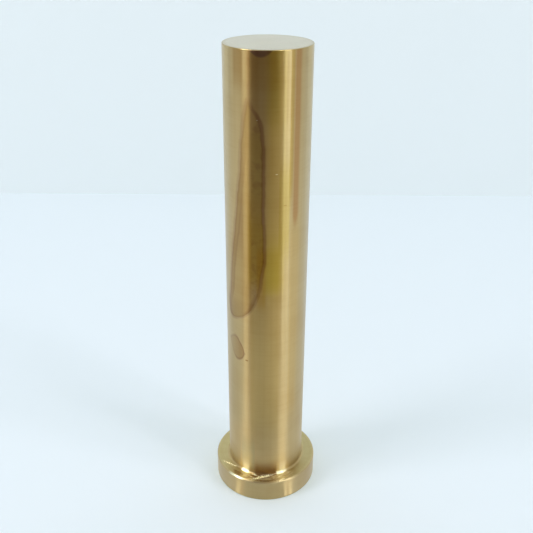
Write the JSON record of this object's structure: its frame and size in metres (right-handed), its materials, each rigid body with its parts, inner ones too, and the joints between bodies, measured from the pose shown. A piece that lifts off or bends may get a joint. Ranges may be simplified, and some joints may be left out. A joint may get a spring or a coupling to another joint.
{
  "type": "core pin",
  "caption": "Plain round mould core pin with a disc head, turned from golden copper alloy, with tool marks on the shoulder and drip stains on the shank.",
  "frame": {"origin": "centre of the head's bottom face", "axes": "+Z along the shank from the head to the tip; -Y is the side with the tool marks on the shoulder"},
  "size_m": [0.027, 0.027, 0.1175],
  "materials": {
    "copper_alloy": "fine turned, bright, with dark drip stains"
  },
  "bodies": {
    "root": {"core_pin": "copper_alloy"}
  },
  "joints": []
}
